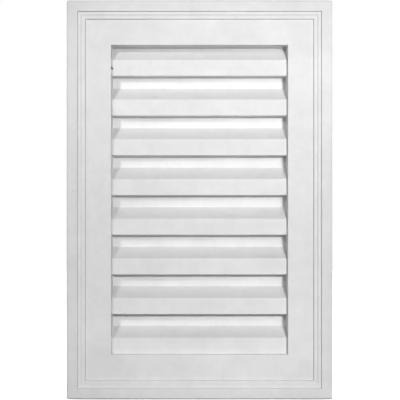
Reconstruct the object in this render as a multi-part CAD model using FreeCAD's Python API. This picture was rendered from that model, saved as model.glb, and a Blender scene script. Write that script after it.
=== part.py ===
import FreeCAD, Part
import math
import os

# A closed decorative gable vent, moulded in one piece.
# Millimetres: x to the right seen from the front, y into the wall, z up the wall.
# The flat back lies in the plane y = 0, and a level is a distance in front of it.

# Overall sizes
overall_width = 304.8
overall_height = 457.2
overall_depth = 41.3

# Trim frame, from its outer edge in towards the louvres
frame_width = 50.8
rim_width = 12.2
outer_step_drop = 3.0
outer_ledge_width = 2.4
ogee_width = 2.8
ogee_drop = 1.0
inner_ledge_width = 3.2
inner_step_drop = 3.0
step_draft_run = 0.4

# Louvres, counted upwards from the lower edge of the opening
louvre_pitch = 45.72
lip_face_height = 18.5
slope_rise = 13.15
slope_depth = 18.5
lip_recess = 6.8

# Moulding draft, in degrees
reveal_draft_angle = 3.5
underside_draft_angle = 3.5

# Edge rounds
outer_edge_radius = 2.0
step_edge_radius = 0.4
opening_edge_radius = 0.5
lip_edge_radius = 0.4
crease_radius = 0.5

# Levels of the flats, each below the one before
rim_level = overall_depth
outer_ledge_level = rim_level - outer_step_drop
inner_ledge_level = outer_ledge_level - ogee_drop
flat_level = inner_ledge_level - inner_step_drop
lip_level = flat_level - lip_recess
bay_level = lip_level - slope_depth

# Opening that the frame leaves for the louvres
half_width = overall_width / 2
half_height = overall_height / 2
opening_half_width = half_width - frame_width
opening_half_height = half_height - frame_width

# The louvre bank runs on behind the frame by this much, so that the two are one moulding
bank_overrun = frame_width / 2

smallest_edge = 1e-6


def rounded_wire(corners):
    """Close a wire through (point, radius) corners, each round at most half of its shorter side."""
    rounds = []
    for index, (point, radius) in enumerate(corners):
        back = corners[index - 1][0] - point
        ahead = corners[(index + 1) % len(corners)][0] - point
        half_angle = back.getAngle(ahead) / 2
        setback = min(radius / math.tan(half_angle), back.Length / 2, ahead.Length / 2)
        fitted = setback * math.tan(half_angle)
        back.normalize()
        ahead.normalize()
        middle = (back + ahead).normalize() * (fitted / math.sin(half_angle) - fitted)
        rounds.append((point + back * setback, point + middle, point + ahead * setback))
    edges = []
    for index, (start, middle, end) in enumerate(rounds):
        if start.distanceToPoint(end) > smallest_edge:
            edges.append(Part.Arc(start, middle, end).toShape())
        following = rounds[(index + 1) % len(rounds)][0]
        if end.distanceToPoint(following) > smallest_edge:
            edges.append(Part.makeLine(end, following))
    return Part.Wire(edges)


def frame_section():
    """Section of the trim frame at the middle of its lower side, looking along x."""
    ledge_start = rim_width + step_draft_run
    ogee_start = ledge_start + outer_ledge_width
    ogee_end = ogee_start + ogee_width
    inner_ledge_end = ogee_end + inner_ledge_width
    reveal_foot = frame_width + flat_level * math.tan(math.radians(reveal_draft_angle))

    # Two equal arcs make the ogee, and their tangents meet this far in from its ends
    ogee_tangent = (ogee_width ** 2 + ogee_drop ** 2) / (4 * ogee_width)
    ogee_turn = math.atan2(ogee_drop, ogee_width - 2 * ogee_tangent)
    ogee_radius = ogee_tangent / math.tan(ogee_turn / 2)

    outline = [
        (0, 0, 0),
        (0, rim_level, 0),
        (rim_width, rim_level, step_edge_radius),
        (ledge_start, outer_ledge_level, step_edge_radius),
        (ogee_start + ogee_tangent, outer_ledge_level, ogee_radius),
        (ogee_end - ogee_tangent, inner_ledge_level, ogee_radius),
        (inner_ledge_end, inner_ledge_level, step_edge_radius),
        (inner_ledge_end + step_draft_run, flat_level, step_edge_radius),
        (frame_width, flat_level, opening_edge_radius),
        (reveal_foot, 0, 0),
    ]
    return rounded_wire([
        (FreeCAD.Vector(0, -level, across - half_height), radius) for across, level, radius in outline
    ])


def trim_frame():
    """Trim frame: its section carried round the rectangle, with mitred corners."""
    turns = [(0, -1), (1, -1), (1, 1), (-1, 1), (-1, -1), (0, -1)]
    path = Part.makePolygon([
        FreeCAD.Vector(side * half_width, 0, end * half_height) for side, end in turns
    ])
    right_corners = 1
    return path.makePipeShell([frame_section()], True, False, right_corners)


def louvre_bank():
    """Closed bank of louvres: one saw-tooth section carried across the opening.

    The lowest lip face starts where the drafted reveal meets it.
    """
    underside_run = slope_depth * math.tan(math.radians(underside_draft_angle))
    bank_half_width = opening_half_width + bank_overrun
    bank_half_height = opening_half_height + bank_overrun
    lowest_edge = lip_recess * math.tan(math.radians(reveal_draft_angle)) - opening_half_height
    louvre_count = math.ceil((bank_half_height - lowest_edge) / louvre_pitch)
    top = lowest_edge + louvre_count * louvre_pitch

    outline = [(-bank_half_height, 0, 0), (-bank_half_height, lip_level, 0)]
    for louvre in range(louvre_count):
        lower_edge = lowest_edge + louvre * louvre_pitch
        upper_edge = lower_edge + lip_face_height
        next_lower_edge = lower_edge + louvre_pitch
        outline.append((upper_edge, lip_level, lip_edge_radius))
        outline.append((upper_edge + slope_rise, bay_level, crease_radius))
        outline.append((next_lower_edge - underside_run, bay_level, crease_radius))
        outline.append((next_lower_edge, lip_level, lip_edge_radius))
    outline.append((top + lip_face_height, lip_level, 0))
    outline.append((top + lip_face_height, 0, 0))

    section = rounded_wire([
        (FreeCAD.Vector(-bank_half_width, -level, height), radius) for height, level, radius in outline
    ])
    bank = Part.Face(section).extrude(FreeCAD.Vector(2 * bank_half_width, 0, 0))
    room = Part.makeBox(
        2 * bank_half_width, rim_level, 2 * bank_half_height,
        FreeCAD.Vector(-bank_half_width, -rim_level, -bank_half_height))
    return bank.common(room)


def on_outside(point):
    """Whether a point lies on one of the four outer sides of the frame, as a pair: by width, by height."""
    return abs(abs(point.x) - half_width) < smallest_edge, abs(abs(point.z) - half_height) < smallest_edge


def outer_corner_edges(shape):
    """Four edges that run from the back to the rim at the outer corners."""
    return [edge for edge in shape.Edges if all(on_outside(edge.CenterOfMass))]


def rim_outer_edges(shape):
    """Edges of the rim's front face along the outside of the frame, corner rounds with them."""
    return [
        edge for edge in shape.Edges
        if all(
            abs(vertex.Point.y + rim_level) < smallest_edge and any(on_outside(vertex.Point))
            for vertex in edge.Vertexes)
    ]


def gable_vent():
    """Whole moulding: frame and louvre bank as one solid, with its outer edges rounded."""
    vent = trim_frame().fuse(louvre_bank()).removeSplitter().Solids[0]
    return vent.makeFillet(outer_edge_radius, outer_corner_edges(vent) + rim_outer_edges(vent))


os.makedirs("parts", exist_ok=True)
gable_vent().exportStep("parts/gable_vent.step")
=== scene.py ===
"""Looks of a closed gable vent: the one-piece moulding, its finishes, a plain studio and the camera."""

import logging
import math
from dataclasses import dataclass
from enum import Enum
from typing import Any, Iterable

import bmesh
import bpy
from mathutils import Matrix, Vector, noise


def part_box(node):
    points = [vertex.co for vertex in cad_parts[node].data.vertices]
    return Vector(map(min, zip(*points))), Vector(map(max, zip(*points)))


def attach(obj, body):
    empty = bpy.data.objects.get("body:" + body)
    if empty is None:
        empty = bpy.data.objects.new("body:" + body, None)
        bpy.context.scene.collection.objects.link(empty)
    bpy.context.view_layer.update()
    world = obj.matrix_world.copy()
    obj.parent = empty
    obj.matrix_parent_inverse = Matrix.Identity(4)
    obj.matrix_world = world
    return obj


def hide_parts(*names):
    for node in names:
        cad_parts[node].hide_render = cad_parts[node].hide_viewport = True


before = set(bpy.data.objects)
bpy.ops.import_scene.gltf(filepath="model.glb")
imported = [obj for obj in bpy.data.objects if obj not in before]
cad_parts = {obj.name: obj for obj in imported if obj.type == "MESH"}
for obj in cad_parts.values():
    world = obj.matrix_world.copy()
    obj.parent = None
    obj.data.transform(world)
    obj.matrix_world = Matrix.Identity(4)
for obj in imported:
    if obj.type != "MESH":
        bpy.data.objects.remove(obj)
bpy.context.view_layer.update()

MM = 0.001
PHOTO_PIXELS = 400
VENT_NODE = "gable_vent"

Colour = tuple[float, float, float]
Place = tuple[float, float, float]
Span = tuple[float, float]
Shape = bmesh.types.BMesh
Socket = bpy.types.NodeSocket

WHITE = (1.0, 1.0, 1.0, 1.0)
RIGHT_STAND: Place = (1.20, -4.83, 0.74)
LEFT_STAND: Place = (-1.96, -4.40, 1.74)

log = logging.getLogger("gable_vent")


class Body(Enum):
    """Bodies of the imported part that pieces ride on."""

    ROOT = "root"


class Slot(Enum):
    """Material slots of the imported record."""

    PRIMED_URETHANE = "primed_urethane"


class Join(Enum):
    """How a tool shape changes the shape that it meets."""

    ADD = "UNION"
    CUT = "DIFFERENCE"


class Rounded(Enum):
    """What a round is made on: edges of a solid, or corners of an outline."""

    EDGES = "EDGES"
    CORNERS = "VERTICES"


class Axis(Enum):
    """Directions of the moulding: across it and up the wall."""

    ACROSS = 0
    UP = 2


class Skin(Enum):
    """Material indices on the moulding."""

    PRIMED = 0
    BARE = 1


class MixPort(Enum):
    """Positions of the colour sockets on a mix node."""

    FACTOR = 0
    FIRST = 6
    SECOND = 7
    RESULT = 2


def mesh_object(name: str, shape: Shape) -> bpy.types.Object:
    """Turn a finished bmesh into an object at the origin.

    Args:
        name: Name of the object and its mesh.
        shape: The bmesh, which is freed.

    Returns:
        The new object, linked to the scene.
    """
    mesh = bpy.data.meshes.new(name)
    shape.to_mesh(mesh)
    shape.free()
    made = bpy.data.objects.new(name, mesh)
    bpy.context.scene.collection.objects.link(made)
    return made


def combine(base: bpy.types.Object, tool: bpy.types.Object, join: Join) -> None:
    """Add a tool shape to a base, or cut it out, and delete the tool.

    Args:
        base: Object whose mesh is changed.
        tool: Object that is added or cut out.
        join: Whether the tool is added or cut.
    """
    modifier = base.modifiers.new("combine", "BOOLEAN")
    modifier.operation = join.value
    modifier.solver = "EXACT"
    modifier.object = tool
    evaluated = base.evaluated_get(bpy.context.evaluated_depsgraph_get())
    before, tool_mesh = base.data, tool.data
    after = bpy.data.meshes.new_from_object(evaluated)
    base.modifiers.clear()
    base.data = after
    bpy.data.objects.remove(tool)
    bpy.data.meshes.remove(tool_mesh)
    bpy.data.meshes.remove(before)
    after.name = base.name


def round_off(shape: Shape, parts: Iterable[Any], radius: float, segments: int, kind: Rounded) -> None:
    """Round a set of edges, or of corners.

    Args:
        shape: The bmesh that holds them.
        parts: Edges or vertices to round.
        radius: Distance that the round takes from each side.
        segments: Number of steps in the round.
        kind: Whether edges or corners are rounded.
    """
    bmesh.ops.bevel(
        shape, geom=list(parts), offset=radius, offset_type="OFFSET", segments=segments, profile=0.5,
        affect=kind.value, clamp_overlap=True, material=-1)


def split_along(shape: Shape, axis: Axis, at_least: float, cuts: int) -> None:
    """Cut every long edge that runs along an axis, so that the surface can bend gently.

    Args:
        shape: The bmesh to divide.
        axis: Direction of the edges.
        at_least: Shortest edge that is cut.
        cuts: Number of cuts in each edge.
    """
    straight = 0.999
    chosen = []
    for edge in shape.edges:
        run = edge.verts[1].co - edge.verts[0].co
        if run.length >= at_least and abs(run[axis.value]) > straight * run.length:
            chosen.append(edge)
    bmesh.ops.subdivide_edges(shape, edges=chosen, cuts=cuts, use_grid_fill=True)


@dataclass
class TrimFrame:
    """Stepped frame round the louvres: levels are distances in front of the flat back."""

    width: float
    height: float
    depth: float
    frame_width: float = 50.8 * MM
    rim_width: float = 12.2 * MM
    outer_step_drop: float = 3.0 * MM
    outer_ledge_width: float = 2.4 * MM
    ogee_width: float = 2.8 * MM
    ogee_drop: float = 1.0 * MM
    inner_ledge_width: float = 3.2 * MM
    inner_step_drop: float = 3.0 * MM
    step_draft_run: float = 0.4 * MM
    reveal_draft: float = math.radians(3.5)
    outer_edge_radius: float = 2.0 * MM
    step_edge_radius: float = 0.4 * MM
    opening_edge_radius: float = 0.5 * MM
    floor_level: float = 6.0 * MM
    outer_edge_segments: int = 5
    edge_segments: int = 3
    cuts_across: int = 47
    cuts_up: int = 71
    flat_rings: int = 4

    @property
    def flat_level(self) -> float:
        """Level of the wide flat beside the opening."""
        return self.depth - self.outer_step_drop - self.ogee_drop - self.inner_step_drop

    @property
    def opening_half_width(self) -> float:
        """Half of the opening's width at the front."""
        return self.width / 2 - self.frame_width

    @property
    def opening_half_height(self) -> float:
        """Half of the opening's height at the front."""
        return self.height / 2 - self.frame_width

    def steps(self) -> list[tuple[float, float, float]]:
        """List the section from the outer edge inwards.

        Returns:
            For each step its run, its drop, and the round at its inner end.
        """
        ogee_setback = (self.ogee_width ** 2 + self.ogee_drop ** 2) / (4 * self.ogee_width)
        stepped = (
            self.rim_width + 2 * self.step_draft_run + self.outer_ledge_width
            + self.ogee_width + self.inner_ledge_width)
        flat_run = (self.frame_width - stepped) / self.flat_rings
        reveal_drop = self.flat_level - self.floor_level
        return [
            (self.rim_width, 0.0, self.step_edge_radius),
            (self.step_draft_run, self.outer_step_drop, self.step_edge_radius),
            (self.outer_ledge_width + ogee_setback, 0.0, ogee_setback),
            (self.ogee_width - 2 * ogee_setback, self.ogee_drop, ogee_setback),
            (self.inner_ledge_width + ogee_setback, 0.0, self.step_edge_radius),
            (self.step_draft_run, self.inner_step_drop, self.step_edge_radius),
            *[(flat_run, 0.0, 0.0)] * (self.flat_rings - 1),
            (flat_run, 0.0, self.opening_edge_radius),
            (reveal_drop * math.tan(self.reveal_draft), reveal_drop, 0.0),
        ]

    def ring_edges(self, shape: Shape, inset: float, level: float) -> list[bmesh.types.BMEdge]:
        """Find the four edges of one line of the section.

        Args:
            shape: The bmesh of the frame.
            inset: Distance of the line from the outer edge.
            level: Its distance in front of the back.

        Returns:
            The edges that lie on that line.
        """
        near = 0.01 * MM

        def on_ring(point: Vector) -> bool:
            """Whether a point lies on the line."""
            inside = min(self.width / 2 - abs(point.x), self.height / 2 - abs(point.z))
            return abs(inside - inset) < near and abs(point.y + level) < near

        return [edge for edge in shape.edges if all(on_ring(vertex.co) for vertex in edge.verts)]

    def build(self) -> Shape:
        """Inset the front of a block step by step, then round its edges.

        Returns:
            A closed tray whose floor the louvre bank will cover.
        """
        shape = bmesh.new()
        bmesh.ops.create_cube(shape, size=1.0)
        bmesh.ops.scale(shape, vec=(self.width, self.depth, self.height), verts=shape.verts)
        bmesh.ops.translate(shape, vec=(0.0, -self.depth / 2, 0.0), verts=shape.verts)
        front = min(shape.faces, key=lambda face: face.calc_center_median().y)
        outer = set(front.edges)
        for corner in front.verts:
            outer.update(corner.link_edges)

        inset, level, rounds = 0.0, self.depth, []
        for run, drop, radius in self.steps():
            bmesh.ops.inset_region(
                shape, faces=[front], thickness=run, depth=-drop, use_even_offset=True, use_boundary=True)
            inset += run
            level -= drop
            if radius:
                rounds.append((inset, level, radius))

        round_off(shape, outer, self.outer_edge_radius, self.outer_edge_segments, Rounded.EDGES)
        for inset, level, radius in rounds:
            ring = self.ring_edges(shape, inset, level)
            round_off(shape, ring, radius, self.edge_segments, Rounded.EDGES)
        split_along(shape, Axis.ACROSS, self.opening_half_width, self.cuts_across)
        split_along(shape, Axis.UP, self.opening_half_height, self.cuts_up)
        log.info("trim frame: %d faces", len(shape.faces))
        return shape


@dataclass
class LouvreBank:
    """Closed bank of louvres: lip faces, slopes and the sunk bands between them."""

    trim: TrimFrame
    pitch: float = 45.72 * MM
    lip_face_height: float = 18.5 * MM
    slope_rise: float = 13.15 * MM
    slope_depth: float = 18.5 * MM
    lip_recess: float = 6.8 * MM
    underside_draft: float = math.radians(3.5)
    lip_edge_radius: float = 0.4 * MM
    crease_radius: float = 0.5 * MM
    overrun: float = 12.0 * MM
    root_level: float = 3.0 * MM
    edge_segments: int = 3
    cuts_across: int = 47

    @property
    def lip_level(self) -> float:
        """Level of the lip faces."""
        return self.trim.flat_level - self.lip_recess

    @property
    def band_level(self) -> float:
        """Level of the sunk bands."""
        return self.lip_level - self.slope_depth

    @property
    def count(self) -> int:
        """Number of louvres that the opening shows."""
        return math.ceil(2 * self.trim.opening_half_height / self.pitch)

    def lower_edge(self, louvre: int) -> float:
        """Height of a louvre's lower edge; the lowest starts where the drafted reveal meets it."""
        lowest = self.lip_recess * math.tan(self.trim.reveal_draft) - self.trim.opening_half_height
        return lowest + louvre * self.pitch

    def upper_edge(self, louvre: int) -> float:
        """Height of a louvre's upper edge, where its slope begins."""
        return self.lower_edge(louvre) + self.lip_face_height

    def slope_level(self, rise: float) -> float:
        """Level of a slope at a rise above its lip face."""
        return self.lip_level - rise / self.slope_rise * self.slope_depth

    def section(self) -> list[tuple[float, float, float]]:
        """List the corners of the saw-tooth section, upwards.

        Returns:
            Height, level and round of each corner.
        """
        underside_run = self.slope_depth * math.tan(self.underside_draft)
        bottom = -self.trim.opening_half_height - self.overrun
        corners = [(bottom, self.root_level, 0.0), (bottom, self.lip_level, 0.0)]
        for louvre in range(self.count):
            upper_edge = self.upper_edge(louvre)
            ceiling = self.lower_edge(louvre + 1)
            corners.append((upper_edge, self.lip_level, self.lip_edge_radius))
            corners.append((upper_edge + self.slope_rise, self.band_level, self.crease_radius))
            if louvre < self.count - 1:
                corners.append((ceiling - underside_run, self.band_level, self.crease_radius))
                corners.append((ceiling, self.lip_level, self.lip_edge_radius))
        top = self.trim.opening_half_height + self.overrun
        return [*corners, (top, self.band_level, 0.0), (top, self.root_level, 0.0)]

    def build(self) -> Shape:
        """Carry the rounded saw-tooth section across the opening.

        Returns:
            A closed block that runs on behind the frame on all sides.
        """
        shape = bmesh.new()
        half_width = self.trim.opening_half_width + self.overrun
        corners = self.section()
        outline = [shape.verts.new((-half_width, -level, height)) for height, level, _ in corners]
        shape.faces.new(outline)
        for radius in sorted({radius for _, _, radius in corners if radius}):
            chosen = [vertex for vertex, (_, _, wanted) in zip(outline, corners) if wanted == radius]
            round_off(shape, chosen, radius, self.edge_segments, Rounded.CORNERS)
        swept = bmesh.ops.extrude_face_region(shape, geom=shape.faces[:])
        moved = [item for item in swept["geom"] if isinstance(item, bmesh.types.BMVert)]
        bmesh.ops.translate(shape, vec=(2 * half_width, 0.0, 0.0), verts=moved)
        split_along(shape, Axis.ACROSS, half_width, self.cuts_across)
        bmesh.ops.recalc_face_normals(shape, faces=shape.faces)
        log.info("louvre bank: %d louvres, %d faces", self.count, len(shape.faces))
        return shape


@dataclass(frozen=True)
class Blemish:
    """Small pit or nub that the casting left: a ball at the surface, drawn out in depth to its reach."""

    join: Join
    across: float
    level: float
    height: float
    radius: float
    reach: float
    subdivisions: int = 2

    def add_ball(self, shape: Shape) -> None:
        """Add the ball to a shape that collects balls of one kind.

        Args:
            shape: The bmesh that collects them.
        """
        place = Matrix.Translation((self.across, -self.level, self.height))
        drawn_out = Matrix.Diagonal((1.0, self.reach / self.radius, 1.0, 1.0))
        bmesh.ops.create_icosphere(
            shape, subdivisions=self.subdivisions, radius=self.radius, matrix=place @ drawn_out)


@dataclass(frozen=True)
class CastingWave:
    """Gentle unevenness that the casting leaves in its flats."""

    wavelength: float
    height: float

    def offset(self, point: Vector) -> float:
        """Distance that the surface stands off its true place at a point."""
        return self.height * noise.noise(point / self.wavelength)


@dataclass
class NodeBench:
    """Adds and joins the nodes of one shader tree."""

    tree: bpy.types.NodeTree
    noise_detail: float = 2.0
    noise_roughness: float = 0.55

    def feed(self, node: bpy.types.Node, inputs: dict[str | int, Any]) -> None:
        """Set the inputs of a node, or join them to other nodes.

        Args:
            node: Node whose inputs are fed.
            inputs: Values or sockets, by the input's name or position.
        """
        for key, value in inputs.items():
            if isinstance(value, Socket):
                self.tree.links.new(value, node.inputs[key])
            else:
                node.inputs[key].default_value = value

    def add(self, kind: str, inputs: dict[str | int, Any] | None = None, **settings: Any) -> bpy.types.Node:
        """Add a node.

        Args:
            kind: Type name of the node.
            inputs: Values or sockets for its inputs, by name or position.
            settings: Values for its own properties.

        Returns:
            The new node.
        """
        node = self.tree.nodes.new(kind)
        for name, value in settings.items():
            setattr(node, name, value)
        self.feed(node, inputs or {})
        return node

    def math(self, operation: str, *values: Any) -> Socket:
        """Add a sum, and give its result."""
        return self.add("ShaderNodeMath", dict(enumerate(values)), operation=operation).outputs[0]

    def noise(self, vector: Socket, wavelength: float, detail: float | None = None) -> Socket:
        """Add a noise.

        Args:
            vector: Socket with the place on the object.
            wavelength: Size of its clouds, in metres.
            detail: Number of finer layers, where it is not the usual one.

        Returns:
            Socket of its value, about one half on average.
        """
        return self.add("ShaderNodeTexNoise", {
            "Vector": vector,
            "Scale": 1 / wavelength,
            "Detail": self.noise_detail if detail is None else detail,
            "Roughness": self.noise_roughness,
        }).outputs[0]

    def between(self, value: Socket, start: float, end: float, low: float, high: float) -> Socket:
        """Map a value from one range to another.

        Args:
            value: Socket that gives the value.
            start: Value that becomes low.
            end: Value that becomes high.
            low: Result at the start.
            high: Result at the end.

        Returns:
            Socket of the result, held between low and high.
        """
        return self.add("ShaderNodeMapRange", dict(enumerate((value, start, end, low, high)))).outputs[0]

    def seen(self) -> Socket:
        """Tell apart the rays that the camera sees: straight, mirrored or through glass.

        Returns:
            Socket that is one on those rays and nought on all others.
        """
        path = self.add("ShaderNodeLightPath").outputs
        indirect = self.math("MAXIMUM", path["Is Glossy Ray"], path["Is Transmission Ray"])
        return self.math("MAXIMUM", path["Is Camera Ray"], indirect)

    def blend(self, factor: Any, first: Any, second: Any) -> Socket:
        """Mix two colours, each a socket or a plain colour.

        Args:
            factor: Share of the second colour.
            first: Colour where the factor is nought.
            second: Colour where the factor is one.

        Returns:
            Socket of the mixed colour.
        """
        opaque = 1.0
        inputs = {MixPort.FACTOR.value: factor}
        for port, colour in ((MixPort.FIRST, first), (MixPort.SECOND, second)):
            inputs[port.value] = (*colour, opaque) if isinstance(colour, tuple) else colour
        return self.add("ShaderNodeMix", inputs, data_type="RGBA").outputs[MixPort.RESULT.value]


@dataclass(frozen=True)
class CastSurface:
    """Node group that both skins share: uneven tone, fine grain and pinholes.

    Each tone is a wavelength and its share. The pinhole sizes are shares of the pinhole spacing.
    """

    name: str = "cast_surface"
    tones: tuple[Span, ...] = ((5 * MM, 0.20), (42 * MM, 0.45), (13 * MM, 0.35))
    tone_span: Span = (0.34, 0.66)
    peel: float = 3.0 * MM
    peel_share: float = 0.6
    grain: float = 0.8 * MM
    pinhole_core: float = 0.03
    pinhole_edge: float = 0.09
    share_without_pinhole: float = 0.8

    def tree(self) -> bpy.types.NodeTree:
        """Make the group once and give it again after that.

        Returns:
            Group that takes a place and a spacing, and gives the tone, the height and the pinhole mask.
        """
        known = bpy.data.node_groups.get(self.name)
        if known:
            return known
        group = bpy.data.node_groups.new(self.name, "ShaderNodeTree")
        group.interface.new_socket("Vector", in_out="INPUT", socket_type="NodeSocketVector")
        group.interface.new_socket("Pinhole Spacing", in_out="INPUT", socket_type="NodeSocketFloat")
        for output in ("Tone", "Height", "Pinhole"):
            group.interface.new_socket(output, in_out="OUTPUT", socket_type="NodeSocketFloat")
        bench = NodeBench(group)
        entry = bench.add("NodeGroupInput")
        vector = entry.outputs["Vector"]

        mixed = 0.0
        for wavelength, share in self.tones:
            mixed = bench.math("MULTIPLY_ADD", bench.noise(vector, wavelength), share, mixed)
        tone = bench.between(mixed, *self.tone_span, 0.0, 1.0)

        grain = bench.noise(vector, self.grain)
        height = bench.math("MULTIPLY_ADD", bench.noise(vector, self.peel), self.peel_share, grain)

        scale = bench.math("DIVIDE", 1.0, entry.outputs["Pinhole Spacing"])
        cells = bench.add("ShaderNodeTexVoronoi", {"Vector": vector, "Scale": scale})
        lot = bench.add("ShaderNodeSeparateColor", {0: cells.outputs["Color"]}).outputs[0]
        chosen = bench.math("GREATER_THAN", lot, self.share_without_pinhole)
        near = bench.between(cells.outputs["Distance"], self.pinhole_core, self.pinhole_edge, 1.0, 0.0)
        pinhole = bench.math("MULTIPLY", near, chosen)
        bench.add("NodeGroupOutput", {"Tone": tone, "Height": height, "Pinhole": pinhole})
        return group


@dataclass(frozen=True)
class Finish:
    """Skin of the moulding, with its own colours on the shared cast surface."""

    name: str
    dark: Colour
    light: Colour
    pinhole: Colour
    pinhole_spacing: float
    dull: float
    smooth: float
    grain_depth: float
    grain_strength: float = 0.35
    gloss: float = 0.25

    def colour(self, bench: NodeBench, place: Socket, surface: bpy.types.Node) -> Socket:
        """Give the skin's colour.

        Args:
            bench: Bench of the material's tree.
            place: Socket with the place on the object; not used here, only by a skin that overrides this.
            surface: Node of the shared group.

        Returns:
            Socket of the colour.
        """
        toned = bench.blend(surface.outputs["Tone"], self.dark, self.light)
        return bench.blend(surface.outputs["Pinhole"], toned, self.pinhole)

    def material(self) -> bpy.types.Material:
        """Make the material.

        Returns:
            Material whose colour, gloss and grain vary over the object.
        """
        made = bpy.data.materials.new(self.name)
        made.use_nodes = True
        bench = NodeBench(made.node_tree)
        place = bench.add("ShaderNodeTexCoord").outputs["Object"]
        given = {"Vector": place, "Pinhole Spacing": self.pinhole_spacing}
        surface = bench.add("ShaderNodeGroup", given, node_tree=CastSurface().tree())
        grain = bench.add("ShaderNodeBump", {
            "Height": surface.outputs["Height"],
            "Strength": self.grain_strength,
            "Distance": self.grain_depth,
        })
        bench.feed(made.node_tree.nodes["Principled BSDF"], {
            "Base Color": self.colour(bench, place, surface),
            "Roughness": bench.between(surface.outputs["Tone"], 0.0, 1.0, self.dull, self.smooth),
            "Normal": grain.outputs["Normal"],
            "Specular IOR Level": self.gloss,
        })
        log.info("finish: %s", self.name)
        return made


@dataclass(frozen=True)
class PrimedFinish(Finish):
    """Matte white primer on the front and sides."""

    name: str = "white_primer"
    dark: Colour = (0.68, 0.68, 0.68)
    light: Colour = (0.745, 0.745, 0.743)
    pinhole: Colour = (0.57, 0.57, 0.57)
    pinhole_spacing: float = 9 * MM
    dull: float = 0.70
    smooth: float = 0.56
    grain_depth: float = 0.10 * MM


@dataclass(frozen=True, kw_only=True)
class BareFinish(Finish):
    """Unpainted foam of the back, with primer that ran over from the sides."""

    half_width: float
    half_height: float
    name: str = "bare_back"
    dark: Colour = (0.66, 0.61, 0.50)
    light: Colour = (0.75, 0.71, 0.61)
    pinhole: Colour = (0.46, 0.42, 0.34)
    pinhole_spacing: float = 3.2 * MM
    dull: float = 0.92
    smooth: float = 0.78
    grain_depth: float = 0.25 * MM
    primer: Colour = (0.735, 0.735, 0.733)
    primer_reach: float = 7 * MM
    ragged_size: float = 9 * MM
    ragged_detail: float = 4.0
    ragged_span: Span = (0.3, 0.7)
    ragged_share: float = 0.6
    border_blur: float = 1.5 * MM

    def colour(self, bench: NodeBench, place: Socket, surface: bpy.types.Node) -> Socket:
        """Give the foam's colour, with a ragged border of primer.

        Args:
            bench: Bench of the material's tree.
            place: Socket with the place on the object.
            surface: Node of the shared group.

        Returns:
            Socket of the colour.
        """
        parts = bench.add("ShaderNodeSeparateXYZ", {0: place}).outputs
        sideways = bench.math("SUBTRACT", self.half_width, bench.math("ABSOLUTE", parts["X"]))
        upwards = bench.math("SUBTRACT", self.half_height, bench.math("ABSOLUTE", parts["Z"]))
        inside = bench.math("MINIMUM", sideways, upwards)
        clouds = bench.noise(place, self.ragged_size, self.ragged_detail)
        ragged = bench.between(clouds, *self.ragged_span, -self.ragged_share, self.ragged_share)
        reach = bench.math("MULTIPLY_ADD", ragged, self.primer_reach, self.primer_reach)
        beyond = bench.math("SUBTRACT", inside, reach)
        border = bench.between(beyond, -self.border_blur, self.border_blur, 1.0, 0.0)
        return bench.blend(border, super().colour(bench, place, surface), self.primer)


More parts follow.
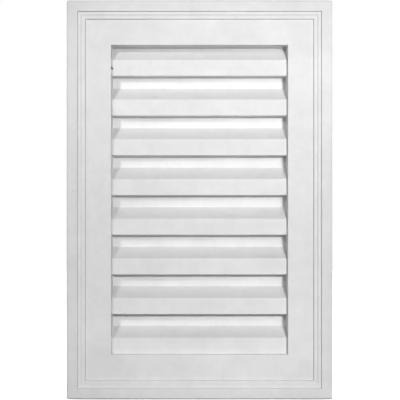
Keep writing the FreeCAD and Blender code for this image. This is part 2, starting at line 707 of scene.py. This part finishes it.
@dataclass
class GableVent:
    """Whole moulding: frame and louvre bank in one piece."""

    trim: TrimFrame
    bank: LouvreBank
    waves: tuple[CastingWave, ...] = (CastingWave(55 * MM, 0.12 * MM), CastingWave(21 * MM, 0.03 * MM))
    sharp_angle: float = math.radians(38)
    merge_distance: float = 0.002 * MM
    back_skin: float = 0.1 * MM

    def blemishes(self) -> list[Blemish]:
        """Place the small casting faults where the photograph shows them.

        Returns:
            A pit on the top lip, two dots on a slope, a mark on the rim, and three nubs.
        """
        lip, rim = self.bank.lip_level, self.trim.depth
        second_from_top = self.bank.count - 2
        nub_edge = self.bank.lower_edge(second_from_top)
        dot_rise = 1.9 * MM
        dot_level = self.bank.slope_level(dot_rise)
        dot_height = self.bank.upper_edge(second_from_top) + dot_rise
        step_level = self.trim.flat_level + self.trim.inner_step_drop / 2
        pit = Blemish(Join.CUT, -101.1 * MM, lip, 151.2 * MM, radius=1.5 * MM, reach=9.0 * MM)
        left_dot = Blemish(Join.CUT, -52.8 * MM, dot_level, dot_height, radius=0.7 * MM, reach=2.0 * MM)
        right_dot = Blemish(Join.CUT, -48.0 * MM, dot_level, dot_height, radius=0.85 * MM, reach=2.4 * MM)
        rim_mark = Blemish(Join.CUT, -144.6 * MM, rim, 9.7 * MM, radius=0.9 * MM, reach=1.2 * MM)
        step_nub = Blemish(Join.ADD, 59.3 * MM, step_level, 207.2 * MM, radius=0.9 * MM, reach=0.9 * MM)
        left_nub = Blemish(Join.ADD, 50.4 * MM, lip - 0.2 * MM, nub_edge, radius=0.6 * MM, reach=0.6 * MM)
        right_nub = Blemish(Join.ADD, 54.9 * MM, lip - 0.3 * MM, nub_edge, radius=0.5 * MM, reach=0.5 * MM)
        return [pit, left_dot, right_dot, rim_mark, step_nub, left_nub, right_nub]

    def mark(self, vent: bpy.types.Object) -> None:
        """Cut the pits and add the nubs.

        Args:
            vent: The joined moulding.
        """
        for join in Join:
            balls = bmesh.new()
            for blemish in self.blemishes():
                if blemish.join is join:
                    blemish.add_ball(balls)
            combine(vent, mesh_object("balls", balls), join)

    def uneven(self, shape: Shape) -> None:
        """Move the front a little in depth, and leave its edges straight and the back flat.

        Args:
            shape: The bmesh of the joined moulding.
        """
        for vertex in shape.verts:
            if vertex.co.y < -self.back_skin:
                vertex.co.y += sum(wave.offset(vertex.co) for wave in self.waves)

    def finish_faces(self, shape: Shape) -> None:
        """Choose each face's skin, and which edges stay sharp.

        Args:
            shape: The bmesh of the joined moulding.
        """
        facing_back = 0.999
        for face in shape.faces:
            face.smooth = True
            face.material_index = (Skin.BARE if face.normal.y > facing_back else Skin.PRIMED).value
        for edge in shape.edges:
            edge.smooth = edge.calc_face_angle(math.pi) < self.sharp_angle

    def build(self) -> bpy.types.Object:
        """Join frame and louvres, and make the surface that of a casting.

        Returns:
            The finished moulding, in its place.
        """
        vent = mesh_object("moulding", self.trim.build())
        combine(vent, mesh_object("louvre_bank", self.bank.build()), Join.ADD)
        self.mark(vent)
        shape = bmesh.new()
        shape.from_mesh(vent.data)
        bmesh.ops.remove_doubles(shape, verts=shape.verts, dist=self.merge_distance)
        self.uneven(shape)
        self.finish_faces(shape)
        open_edges = sum(not edge.is_manifold for edge in shape.edges)
        log.info("moulding: %d faces, %d open edges", len(shape.faces), open_edges)
        shape.to_mesh(vent.data)
        shape.free()
        weighted = vent.modifiers.new("face_normals", "WEIGHTED_NORMAL")
        weighted.keep_sharp = True
        return vent

    def dress(self, vent: bpy.types.Object) -> None:
        """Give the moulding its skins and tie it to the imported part.

        Args:
            vent: The finished moulding.
        """
        bare = BareFinish(half_width=self.trim.width / 2, half_height=self.trim.height / 2)
        for finish in (PrimedFinish(), bare):
            vent.data.materials.append(finish.material())
        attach(vent, Body.ROOT.value)
        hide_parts(VENT_NODE)


@dataclass(frozen=True)
class Lamp:
    """Lamp that the camera doesn't see: each kind makes its own light and says where it looks."""

    name: str
    place: Place
    power: float

    def light(self) -> bpy.types.Light:
        """Make the light itself."""
        raise NotImplementedError

    def aim(self) -> Vector:
        """Give the point that the lamp looks at."""
        raise NotImplementedError

    def build(self) -> bpy.types.Object:
        """Make the lamp, unseen by the camera.

        Returns:
            The lamp, turned to its aim.
        """
        data = self.light()
        data.energy = self.power
        made = bpy.data.objects.new(self.name, data)
        made.location = self.place
        made.rotation_euler = (self.aim() - made.location).to_track_quat("-Z", "Y").to_euler()
        made.visible_camera = False
        bpy.context.scene.collection.objects.link(made)
        log.info("lamp: %s", self.name)
        return made


@dataclass(frozen=True)
class Panel(Lamp):
    """Soft round or flattened panel that looks at the middle of the vent's back."""

    size: float
    tallness: float = 1.0

    def light(self) -> bpy.types.Light:
        """Make the light of a panel.

        Returns:
            Elliptical area light of the panel's size.
        """
        made = bpy.data.lights.new(self.name, "AREA")
        made.shape = "ELLIPSE"
        made.size = self.size
        made.size_y = self.size * self.tallness
        return made

    def aim(self) -> Vector:
        """Give the middle of the vent's back."""
        return Vector()


@dataclass(frozen=True)
class Spot(Lamp):
    """Lamp with a narrow beam, soft to its edge, for one part of the front."""

    target: Place
    beam: float
    bulb_radius: float = 0.15
    softness: float = 1.0

    def light(self) -> bpy.types.Light:
        """Make the light of a spot.

        Returns:
            Spot light with the lamp's beam.
        """
        made = bpy.data.lights.new(self.name, "SPOT")
        made.shadow_soft_size = self.bulb_radius
        made.spot_size = self.beam
        made.spot_blend = self.softness
        return made

    def aim(self) -> Vector:
        """Give the point that the beam is centred on."""
        return Vector(self.target)


@dataclass(frozen=True)
class PaleFloor:
    """Round floor that looks white, keeps the vent's shadow and throws little light back."""

    level: float
    radius: float = 6.0
    segments: int = 96
    shown: Colour = (0.8, 0.8, 0.8)
    dark: Colour = (0.13, 0.13, 0.13)
    light: Colour = (0.17, 0.17, 0.17)
    cloud_size: float = 0.3
    glow_distances: Span = (0.30, 1.2)
    glow_levels: Span = (0.42, 1.0)
    dull: float = 0.9

    def material(self) -> bpy.types.Material:
        """Make the floor's material: pale and glowing where it is seen, dark to all other light.

        Returns:
            Material whose glow is weaker near the vent, so that the shadow shows.
        """
        made = bpy.data.materials.new("pale_floor")
        made.use_nodes = True
        bench = NodeBench(made.node_tree)
        seen = bench.seen()
        place = bench.add("ShaderNodeTexCoord").outputs["Object"]
        unseen = bench.blend(bench.noise(place, self.cloud_size), self.dark, self.light)
        away = bench.add("ShaderNodeVectorMath", {0: place}, operation="LENGTH").outputs["Value"]
        glow = bench.between(away, *self.glow_distances, *self.glow_levels)
        bench.feed(made.node_tree.nodes["Principled BSDF"], {
            "Base Color": bench.blend(seen, unseen, self.shown),
            "Emission Strength": bench.math("MULTIPLY", seen, glow),
            "Emission Color": WHITE,
            "Roughness": self.dull,
        })
        return made

    def build(self) -> bpy.types.Object:
        """Lay the floor under the vent.

        Returns:
            The floor.
        """
        shape = bmesh.new()
        place = Matrix.Translation((0.0, 0.0, self.level))
        bmesh.ops.create_circle(
            shape, cap_ends=True, segments=self.segments, radius=self.radius, matrix=place)
        made = mesh_object("floor", shape)
        made.data.materials.append(self.material())
        log.info("floor: laid at %.4f m", self.level)
        return made


@dataclass(frozen=True)
class PhotoCamera:
    """Camera square to the front, as the photograph was taken.

    The picture height is a length on a plane just behind the rim. The vent's middle lies a part of a
    pixel left of the picture's middle and above it.
    """

    rim_plane: float
    distance: float = 3.3
    picture_height: float = 0.459
    behind_rim: float = 2.0 * MM
    pixels_left: float = 0.5
    pixels_above: float = 0.25
    sensor: float = 36.0

    def build(self) -> bpy.types.Object:
        """Place the camera.

        Returns:
            The camera, made the scene's own.
        """
        data = bpy.data.cameras.new("camera")
        data.sensor_width = self.sensor
        data.lens = self.sensor * self.distance / self.picture_height
        made = bpy.data.objects.new("camera", data)
        pixel = self.picture_height / PHOTO_PIXELS
        made.location = (
            self.pixels_left * pixel,
            self.rim_plane + self.behind_rim - self.distance,
            -self.pixels_above * pixel)
        made.rotation_euler = (math.pi / 2, 0.0, 0.0)
        bpy.context.scene.collection.objects.link(made)
        bpy.context.scene.camera = made
        log.info("camera: %.1f m in front of the vent", self.distance)
        return made


@dataclass(frozen=True)
class Studio:
    """Everything round the vent: floor, camera, white background and soft lamps."""

    floor: PaleFloor
    camera: PhotoCamera
    ambient: float = 0.02
    lamps: tuple[Lamp, ...] = (
        Panel("key_lamp", (1.18, -4.42, 0.74), 104.5, size=0.85, tallness=0.3),
        Panel("fill_lamp", (-1.82, -4.33, 1.80), 27.5, size=0.5),
        Spot("upper_right_spot", RIGHT_STAND, 555.0, target=(0.12, -0.03, 0.15), beam=math.radians(5)),
        Spot("lower_right_spot", RIGHT_STAND, 376.0, target=(0.09, -0.03, -0.16), beam=math.radians(4.5)),
        Spot("upper_left_spot", LEFT_STAND, 552.0, target=(-0.10, -0.03, 0.15), beam=math.radians(4)),
        Spot("lower_left_spot", LEFT_STAND, 281.0, target=(-0.10, -0.03, -0.14), beam=math.radians(4)),
        Panel("left_back_lamp", (-1.4, 1.1, 0.8), 30.0, size=0.7),
        Panel("right_back_lamp", (1.4, 1.1, 0.8), 30.0, size=0.7),
    )

    def light_world(self) -> None:
        """Show the camera a white background, and light the vent only faintly from all round."""
        world = bpy.data.worlds.new("studio")
        world.use_nodes = True
        bpy.context.scene.world = world
        bench = NodeBench(world.node_tree)
        strength = bench.between(bench.seen(), 0.0, 1.0, self.ambient, 1.0)
        bench.feed(world.node_tree.nodes["Background"], {"Color": WHITE, "Strength": strength})

    def build(self) -> None:
        """Set up everything that is not the vent."""
        bpy.context.scene.view_settings.view_transform = "Standard"
        self.light_world()
        self.floor.build()
        self.camera.build()
        for lamp in self.lamps:
            lamp.build()


def main() -> None:
    """Build the vent and the studio."""
    logging.basicConfig(level=logging.INFO, format="%(name)s: %(message)s")
    low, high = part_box(VENT_NODE)
    trim = TrimFrame(width=high.x - low.x, height=high.z - low.z, depth=high.y - low.y)
    vent = GableVent(trim, LouvreBank(trim))
    vent.dress(vent.build())
    Studio(PaleFloor(low.z), PhotoCamera(low.y)).build()


if __name__ == "__main__":
    main()
